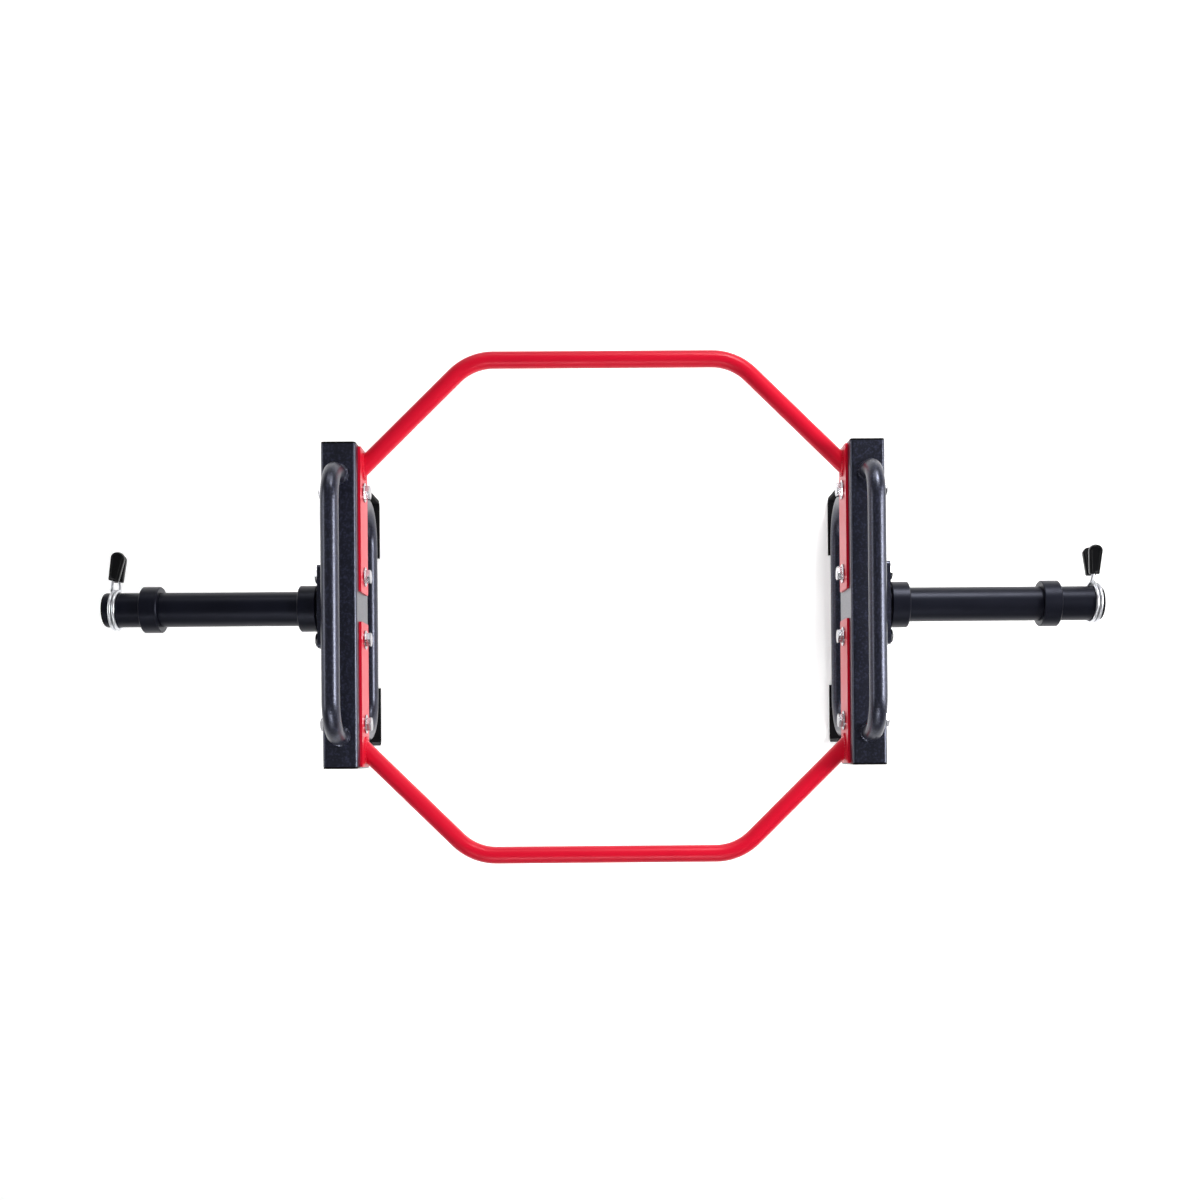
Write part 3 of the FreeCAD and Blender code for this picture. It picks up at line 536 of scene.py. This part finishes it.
def tacks(node, hoop, end):
    """Short seams beside the hoop's tube at both ends of a foot."""
    low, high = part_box(node)
    radius = span(hoop).x / 2
    apart, run = sizes().tack_apart, sizes().tack_length
    sink = radius - math.sqrt(radius * radius - apart * apart)
    near_y, far_y = (low.y, high.y) if end > 0 else (high.y, low.y)
    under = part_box(hoop)[0].z + sink / 2
    beside = end * (span(hoop).y / 2 - sink / 2)
    lines = []
    for across in (middle(hoop).x - apart, middle(hoop).x + apart):
        lines.append([Vector((across, near_y, under)), Vector((across, near_y + end * run, under))])
        lines.append([Vector((across, beside, high.z)), Vector((across, beside, high.z - run))])
    return lines


class TRAPBAR_OT_weld_seams(bpy.types.Operator):
    """Lay rippled weld beads where tubes, plates, sleeves and feet are joined"""

    bl_idname = "trapbar.weld_seams"
    bl_label = "Weld Seams"

    def execute(self, context):
        black, red = [], []
        for side_name, side in SIDES.items():
            beam_low, beam_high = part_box(f"{side_name}_beam")
            black += tube_feet(f"{side_name}_carry_handle", beam_high.z)
            black += tube_feet(f"{side_name}_stand_hoop", beam_low.z)
            sleeve = f"{side_name}_sleeve"
            root = Vector((inner_x(sleeve, side), middle(sleeve).y, middle(sleeve).z))
            radius = span(sleeve).y / 2
            black.append(ellipse(root, Y_AXIS * radius, Z_AXIS * radius))
            for end_name in ENDS:
                plate = inner_x(f"{side_name}_{end_name}_frame_plate", side)
                red.append(landing(f"{end_name}_frame_tube", plate))
        open_lines = [line for side_name in SIDES for end_name, end in ENDS.items()
                      for line in tacks(f"{side_name}_{end_name}_foot", f"{side_name}_stand_hoop", end)]
        tree = bead_tree()
        for name, slot, rings, lines in (("black_weld_beads", "black_coat", black, open_lines),
                                         ("red_weld_beads", "red_coat", red, [])):
            points, edges = [], []
            for loop in rings + lines:
                first = len(points)
                points += loop
                edges += [(index, index + 1) for index in range(first, len(points) - 1)]
                if loop in rings:
                    edges.append((len(points) - 1, first))
            mesh = shaped(name, points, edges, tree, **{
                "Bead Radius": sizes().bead_radius, "Ripple": sizes().bead_ripple,
                "Depth": sizes().bead_depth, "Finish": finish(slot)})
            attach(add_piece(name, mesh, slot), BAR)
        return {"FINISHED"}


# Bolt threads

BOLT_SPLIT = 100 * MM
THREAD_STEPS = 28
RIDGE_SIDES = 4


def thread_tree():
    """A thread's ridge round the end of each bolt."""
    shape = Shaper("bolt_thread", ["Radius", "Pitch", "Run", "Ridge"])
    radius, run = shape.given("Radius"), shape.given("Run")
    helix = shape.node("GeometryNodeCurveSpiral", {}, {
        "Resolution": THREAD_STEPS, "Rotations": run / shape.given("Pitch"), "Start Radius": radius,
        "End Radius": radius, "Height": run})
    section = shape.node("GeometryNodeCurvePrimitiveCircle", {"mode": "RADIUS"},
                         {"Resolution": RIDGE_SIDES, "Radius": shape.given("Ridge")})
    ridge = shape.node("GeometryNodeCurveToMesh", {},
                       {"Curve": helix, "Profile Curve": section, "Fill Caps": True})
    along = shape.node("GeometryNodeTransform", {}, {"Geometry": ridge, "Rotation": (0.0, math.pi / 2, 0.0)})
    ends = shape.node("GeometryNodeInstanceOnPoints", {},
                      {"Points": shape.given("Geometry"), "Instance": along})
    return shape.close(ends)


def by_bolt(node):
    """A fastener node's corners, sorted by the bolt that they belong to."""
    groups = {}
    for vert in NODES[node].data.vertices:
        key = (vert.co.y > 0, abs(vert.co.y) > BOLT_SPLIT)
        groups.setdefault(key, []).append(vert.co)
    return groups


def bolt_ends(side_name, side):
    """Where each bolt's thread shows past its nut: the end of that stretch nearest to -X, and its run."""
    bolts, nuts = (by_bolt(f"{side_name}_{word}") for word in ("bolts", "nuts"))
    found = []
    for key, corners in nuts.items():
        face, tip = (max(corner.x * side for corner in group) * side for group in (corners, bolts[key]))
        low, high = extent(corners)
        centre = (low + high) / 2
        found.append((Vector((min(face, tip), centre.y, centre.z)), abs(tip - face)))
    return found


class TRAPBAR_OT_bolt_threads(bpy.types.Operator):
    """Wind a thread's ridge round the end of each bolt"""

    bl_idname = "trapbar.bolt_threads"
    bl_label = "Bolt Threads"

    def execute(self, context):
        ends = [end for side_name, side in SIDES.items() for end in bolt_ends(side_name, side)]
        mesh = shaped("bolt_threads", [start for start, _ in ends], [], thread_tree(), **{
            "Radius": sizes().bolt / 2, "Pitch": sizes().thread_pitch, "Run": ends[0][1],
            "Ridge": sizes().thread_ridge, "Finish": finish("zinc")})
        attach(add_piece("bolt_threads", mesh, "zinc"), BAR)
        return {"FINISHED"}


# Beam caps

CORNER_STEPS = 8
CAP_LEAD = 1.0 * MM
LEAST_CAP_CORNER = 1.0 * MM


def rounded_rectangle(half_width, half_height, corner):
    """Points of a rounded rectangle in X and Z, one way round."""
    points = []
    for quarter, (across, up) in enumerate(((1, 1), (-1, 1), (-1, -1), (1, -1))):
        for step in range(CORNER_STEPS + 1):
            turn = (quarter + step / CORNER_STEPS) * math.pi / 2
            points.append((across * (half_width - corner) + corner * math.cos(turn),
                           up * (half_height - corner) + corner * math.sin(turn)))
    return points


def cap_rings(half_width, half_height):
    """A cap's outlines from the end of its insert to its sunk panel, each with its height."""
    rim, rounding, groove = sizes().cap_rim, sizes().cap_rounding, sizes().cap_groove
    margin, panel, depth = sizes().cap_margin, sizes().panel_margin, sizes().panel_depth
    insert = sizes().cap_insert
    steps = [(margin + CAP_LEAD, -insert), (margin, CAP_LEAD - insert), (margin, 0.0),
             (groove, 0.0), (0.0, groove)]
    for step in range(CORNER_STEPS + 1):
        turn = step / CORNER_STEPS * math.pi / 2
        steps.append((rounding * (1 - math.cos(turn)), rim - rounding * (1 - math.sin(turn))))
    steps += [(panel, rim), (panel + depth, rim - depth)]
    for inset, height in steps:
        corner = max(sizes().cap_corner - inset, LEAST_CAP_CORNER)
        yield rounded_rectangle(half_width - inset, half_height - inset, corner), height


class TRAPBAR_OT_beam_caps(bpy.types.Operator):
    """Mould a cap with a round rim and a sunk panel for each end of the beams"""

    bl_idname = "trapbar.beam_caps"
    bl_label = "Beam Caps"

    def execute(self, context):
        for side_name in SIDES:
            beam = f"{side_name}_beam"
            centre, half = middle(beam), span(beam) / 2
            for end_name, end in ENDS.items():
                rings = [[(centre.x + across, end * (half.y + height), centre.z + up)
                          for across, up in outline]
                         for outline, height in cap_rings(half.x, half.z)]
                node = f"{side_name}_{end_name}_beam_cap"
                piece = add_piece(f"{node}_moulded", loft(node, rings), "black_plastic")
                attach(piece, BAR)
                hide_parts(node)
        return {"FINISHED"}


# Spring clips

COIL_TURNS = 2
TURN_STATIONS = 8
LEG_STATIONS = 3
WIRE_SIDES = 6
WIRE_STEPS = 8
LEAST_TURN = 1e-3


def wire_stations(leans):
    """Places and directions along the wire, about the clip's middle: tip, grip, root, coil and back."""
    coil = span("left_sleeve").y / 2 + sizes().wire_gap + sizes().wire / 2
    bend, rise, pitch = sizes().leg_bend, sizes().leg_angle, sizes().coil_pitch
    swing = math.asin(bend / (coil + bend))
    first_turn = rise - swing
    whole_turn = 2.0 * math.pi * COIL_TURNS + 2.0 * first_turn

    def on_coil(turned):
        turn = first_turn - turned
        step = pitch / (2.0 * math.pi)
        place = Vector((step * (turned - whole_turn / 2), coil * math.cos(turn), coil * math.sin(turn)))
        return place, Vector((step, coil * math.sin(turn), -coil * math.cos(turn))).normalized()

    def on_leg(level):
        radial = Vector((0.0, math.cos(rise), level * math.sin(rise)))
        way = radial * math.cos(leans[level]) + X_AXIS * math.sin(leans[level])
        root = radial * ((coil + bend) * math.cos(swing)) - X_AXIS * (level * sizes().root_offset)
        mouth = radial * sizes().grip_start - X_AXIS * (level * sizes().leg_offset)
        tip = mouth + way * sizes().leg_insert
        return [(root, radial), (mouth, way), (tip, way)]

    count = TURN_STATIONS * COIL_TURNS
    turns = [on_coil(whole_turn * index / count) for index in range(count + 1)]
    inward = [(place, -way) for place, way in reversed(on_leg(1))]
    return inward + turns + on_leg(-1)


def wire_mesh(name, stations):
    """A round wire on a smooth curve through stations, bent like an arc from each to the next."""
    curve = bpy.data.curves.new(f"{name}_path", "CURVE")
    curve.dimensions = "3D"
    curve.resolution_u = WIRE_STEPS
    curve.bevel_depth = sizes().wire / 2
    curve.bevel_resolution = WIRE_SIDES
    curve.use_fill_caps = True
    spline = curve.splines.new("BEZIER")
    spline.bezier_points.add(len(stations) - 1)
    reaches = []
    for (place, way), (after, after_way) in zip(stations, stations[1:]):
        turn = max(way.angle(after_way), LEAST_TURN)
        reaches.append((after - place).length * 2.0 / 3.0 * math.tan(turn / 4) / math.sin(turn / 2))
    for point, (place, way), before, after in zip(
            spline.bezier_points, stations, [reaches[0]] + reaches, reaches + [reaches[-1]]):
        point.handle_left_type = point.handle_right_type = "FREE"
        point.co = place
        point.handle_left = place - way * before
        point.handle_right = place + way * after
    source = bpy.data.objects.new(f"{name}_path", curve)
    bpy.context.scene.collection.objects.link(source)
    bpy.context.view_layer.update()
    mesh = bpy.data.meshes.new_from_object(source.evaluated_get(bpy.context.evaluated_depsgraph_get()))
    mesh.name = name
    bpy.data.objects.remove(source)
    return mesh


def clip_middle(side_name):
    return Vector(JOINTS[f"{side_name}_upper_squeeze"]["pos_m"])


def lean_of(side_name, level_name):
    return sizes().leg_lean if (side_name, level_name) == ("left", "upper") else 0.0


class TRAPBAR_OT_clip_wires(bpy.types.Operator):
    """Wind each clip's wire in three pieces: a middle turn, and a half turn with each leg"""

    bl_idname = "trapbar.clip_wires"
    bl_label = "Clip Wires"

    def execute(self, context):
        for side_name, side in SIDES.items():
            centre = clip_middle(side_name)
            stations = wire_stations({level: lean_of(side_name, name) for name, level in LEVELS.items()})
            seat = Matrix.Translation(centre)
            order = list(LEVELS)
            if side > 0:
                seat = seat @ Matrix.Rotation(math.pi, 4, "Y")
                order.reverse()
            stations = [(seat @ place, seat.to_3x3() @ way) for place, way in stations]
            half_turn = LEG_STATIONS + TURN_STATIONS // 2
            first, last = stations[:half_turn + 1], stations[-half_turn - 1:]
            coil = stations[half_turn:-half_turn]
            clip = f"{side_name}_clip"
            turn = add_piece(f"{clip}_coil", wire_mesh(f"{clip}_coil", coil), "chrome_wire")
            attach(turn, clip)
            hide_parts(f"{clip}_spring")
            for level_name, run in zip(order, (first, last)):
                name = f"{clip}_{level_name}_leg"
                leg = add_piece(name, wire_mesh(name, run), "chrome_wire")
                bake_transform(leg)
                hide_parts(f"{clip}_spring")
        return {"FINISHED"}


# Grips

SIDE_STEPS = 6
TIP_STEPS = 12
FOOT_STEPS = 4
LEAST_GRIP_CORNER = 0.4 * MM
BEVEL_STEPS = ((1.0, 0.0), (0.3, 0.45), (0.0, 1.1))


def paddle(inset):
    """A grip's outline in its own plane, from its foot to its round tip, drawn in by an inset."""
    foot, tip = sizes().grip_foot / 2 - inset, sizes().grip_tip / 2 - inset
    top = sizes().grip_length - inset
    shoulder = sizes().grip_length - sizes().grip_crown
    corner = max(sizes().grip_bevel - inset, LEAST_GRIP_CORNER)
    half = []
    for step in range(FOOT_STEPS + 1):
        turn = step / FOOT_STEPS * math.pi / 2
        half.append((foot - corner * (1 - math.sin(turn)), inset + corner * (1 - math.cos(turn))))
    for step in range(1, SIDE_STEPS + 1):
        part = step / SIDE_STEPS
        start = inset + corner
        half.append((foot + (tip - foot) * part, start + (shoulder - start) * part))
    for step in range(1, TIP_STEPS):
        turn = step / TIP_STEPS * math.pi / 2
        half.append((tip * math.cos(turn), shoulder + (top - shoulder) * math.sin(turn)))
    return half + [(0.0, top)] + [(-across, along) for across, along in reversed(half)]


def grip_rings():
    """Insets and heights of a grip's outlines, from face to face: panel, rim, bevel, side and back."""
    half, bevel = sizes().grip_thickness / 2, sizes().grip_bevel
    rim, sink = sizes().grip_rim, sizes().grip_sink
    steps = [(bevel + rim + sink, half - sink), (bevel + rim, half)]
    steps += [(bevel * inset, half - bevel * depth) for inset, depth in BEVEL_STEPS]
    for inset, height in steps:
        yield inset, -height
    for inset, height in reversed(steps):
        yield inset, height


class TRAPBAR_OT_clip_grips(bpy.types.Operator):
    """Mould the bevelled grips that are pushed on the clips' legs"""

    bl_idname = "trapbar.clip_grips"
    bl_label = "Clip Grips"

    def execute(self, context):
        rise, start = sizes().leg_angle, sizes().grip_start
        for side_name in SIDES:
            for level_name, level in LEVELS.items():
                foot = Vector((-level * sizes().grip_offset, start * math.cos(rise),
                               level * start * math.sin(rise)))
                seat = (Matrix.Translation(clip_middle(side_name) + foot)
                        @ Matrix.Rotation(level * rise, 4, "X")
                        @ Matrix.Rotation(-lean_of(side_name, level_name), 4, "Z"))
                rings = [[seat @ Vector((across, along, height)) for across, along in paddle(inset)]
                         for inset, height in grip_rings()]
                node = f"{side_name}_{level_name}_grip"
                piece = add_piece(f"{node}_moulded", loft(node, rings), "black_plastic")
                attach(piece, f"{side_name}_{level_name}_handle")
                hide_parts(node)
        return {"FINISHED"}


# Frame finishes

class TRAPBAR_OT_frame_finishes(bpy.types.Operator):
    """Coat every piece of the frame with the finish of its slot, and the feet with a matt one whose darker colour
    is painted shade
    """

    bl_idname = "trapbar.frame_finishes"
    bl_label = "Frame Finishes"

    def execute(self, context):
        for part in frame["record"]["subparts"]:
            # The feet get a darker, matt copy of the black coat: painted shade
            coat = "foot_coat" if part["node"].endswith("_foot") else part["material_slot"]
            NODES[part["node"]].material_slots[0].material = finish(coat)
        return {"FINISHED"}


# Stage

# The camera: picture's width in pixels, sensor in millimetres, place, turn, focal length and axis in pixels
IMAGE = 1200
SENSOR = 36.0
CAMERA_PLACE = Vector((3.1, -219.3, 2370.4)) * MM
CAMERA_TURN = [math.radians(degrees) for degrees in (0.21, -0.433, -0.467)]
FOCAL_PIXELS = 1456.8
AXIS_PIXEL = (618.71, 751.19)
# The floor fades into the backdrop between two shares of its half width
FLOOR_HALF = 3.0
FLOOR_FADE = (0.55, 0.95)
WORLD_LIGHT = 0.15
BACKDROP_LIGHT = 0.95
FLOOR_GLOW = 0.42
# Each lamp's place, aim and size in metres, power in watts and spread in degrees
LAMPS = {
    "right_softbox": ((2.9, 0.2, 1.1), (0.0, 0.0, 0.2), (2.2, 0.9), 38.0, 180),
    "left_softbox": ((-2.9, 0.2, 1.2), (0.0, 0.0, 0.2), (2.2, 0.8), 25.0, 180),
    "front_softbox": ((0.0, -3.0, 1.5), (0.0, 0.0, 0.2), (3.0, 0.9), 13.0, 180),
    "rear_softbox": ((0.0, 3.0, 1.4), (0.0, 0.0, 0.2), (3.0, 0.9), 29.0, 180),
    "left_handle_strip": ((2.0, 0.1, 1.6), (-0.4, 0.0, 0.3), (0.9, 0.5), 6.0, 60),
    "left_sleeve_strip": ((-1.16, -1.9, 2.45), (-0.57, 0.0, 0.25), (0.9, 0.7), 0.5, 45),
    "right_sleeve_strip": ((0.97, 2.5, 1.75), (0.57, 0.0, 0.25), (0.9, 0.8), 5.0, 45),
    "tube_strip": ((0.0, -1.9, 2.0), (0.0, -0.1, 0.25), (1.2, 0.2), 1.8, 50),
}


class TRAPBAR_OT_stage(bpy.types.Operator):
    """Set the pale floor, the soft studio light and the camera above the bar"""

    bl_idname = "trapbar.stage"
    bl_label = "Stage"

    def execute(self, context):
        self.lay_floor()
        self.light()
        self.aim_camera(context.scene)
        # Keeps the floor white and the red as it is set
        context.scene.view_settings.view_transform = "Standard"
        return {"FINISHED"}

    def lay_floor(self):
        mesh = bpy.data.meshes.new("studio_floor")
        corners = [(across * FLOOR_HALF, along * FLOOR_HALF, 0.0)
                   for across, along in ((-1, -1), (1, -1), (1, 1), (-1, 1))]
        mesh.from_pydata(corners, [], [(0, 1, 2, 3)])
        floor = bpy.data.objects.new("studio_floor", mesh)
        bpy.context.scene.collection.objects.link(floor)
        paint = Finish("studio_floor_paint")
        cloud = paint.noise(scale=0.8, detail=2.0)
        away = paint.node("ShaderNodeVectorMath", {"operation": "LENGTH"}, {0: paint.place}, "Value")
        mesh.materials.append(paint.surface(
            base_color=paint.tones(cloud, colours().floor, darker=0.985, lighter=1.0), roughness=0.9,
            alpha=1.0 - paint.ramp(away / FLOOR_HALF, *FLOOR_FADE),
            emission_color=WHITE, emission_strength=FLOOR_GLOW))

    def light(self):
        for name, (place, aim, size, power, spread) in LAMPS.items():
            lamp = bpy.data.lights.new(name, "AREA")
            lamp.shape = "RECTANGLE"
            lamp.size, lamp.size_y = size
            lamp.energy = power
            lamp.spread = math.radians(spread)
            holder = bpy.data.objects.new(name, lamp)
            holder.location = place
            holder.rotation_euler = (Vector(aim) - Vector(place)).to_track_quat("-Z", "Y").to_euler()
            bpy.context.scene.collection.objects.link(holder)
        world = bpy.data.worlds.new("studio_light")
        world.use_nodes = True
        backdrop = world.node_tree.nodes["Background"]
        backdrop.inputs["Color"].default_value = WHITE
        sky = Maker(world.node_tree)
        seen = sky.node("ShaderNodeLightPath", output="Is Camera Ray")
        sky.feed(backdrop.inputs["Strength"], WORLD_LIGHT + seen * (BACKDROP_LIGHT - WORLD_LIGHT))
        bpy.context.scene.world = world

    def aim_camera(self, scene):
        lens = bpy.data.cameras.new("camera")
        lens.sensor_width = SENSOR
        lens.lens = FOCAL_PIXELS * SENSOR / IMAGE
        lens.shift_x = (IMAGE / 2 - AXIS_PIXEL[0]) / IMAGE
        lens.shift_y = (AXIS_PIXEL[1] - IMAGE / 2) / IMAGE
        camera = bpy.data.objects.new("camera", lens)
        turn = Matrix.Identity(4)
        for amount, axis in zip(CAMERA_TURN, "XYZ"):
            turn = turn @ Matrix.Rotation(amount, 4, axis)
        camera.matrix_world = Matrix.Translation(CAMERA_PLACE) @ turn
        scene.collection.objects.link(camera)
        scene.camera = camera


# The add-on

PIECE_OPERATORS = (TRAPBAR_OT_frame_finishes, TRAPBAR_OT_weld_seams, TRAPBAR_OT_bolt_threads,
                   TRAPBAR_OT_beam_caps, TRAPBAR_OT_clip_wires, TRAPBAR_OT_clip_grips, TRAPBAR_OT_stage)


class TRAPBAR_PT_looks(bpy.types.Panel):
    """Pieces, sizes and colours of the trap bar"""

    bl_idname = "TRAPBAR_PT_looks"
    bl_label = "Trap Bar"
    bl_space_type = "VIEW_3D"
    bl_region_type = "UI"
    bl_category = "Trap Bar"

    def draw(self, context):
        for operator in PIECE_OPERATORS:
            self.layout.operator(operator.bl_idname)
        for group in (sizes(), colours()):
            box = self.layout.box()
            for name in group.__annotations__:
                box.prop(group, name)


CLASSES = (TrapBarSizes, TrapBarColours, *PIECE_OPERATORS, TRAPBAR_PT_looks)


def register():
    for cls in CLASSES:
        bpy.utils.register_class(cls)
    bpy.types.Scene.trap_bar_sizes = PointerProperty(type=TrapBarSizes)
    bpy.types.Scene.trap_bar_colours = PointerProperty(type=TrapBarColours)


def unregister():
    del bpy.types.Scene.trap_bar_colours
    del bpy.types.Scene.trap_bar_sizes
    for cls in reversed(CLASSES):
        bpy.utils.unregister_class(cls)


def main():
    register()
    for operator in PIECE_OPERATORS:
        group, name = operator.bl_idname.split(".")
        getattr(getattr(bpy.ops, group), name)()


if __name__ == "__main__":
    main()
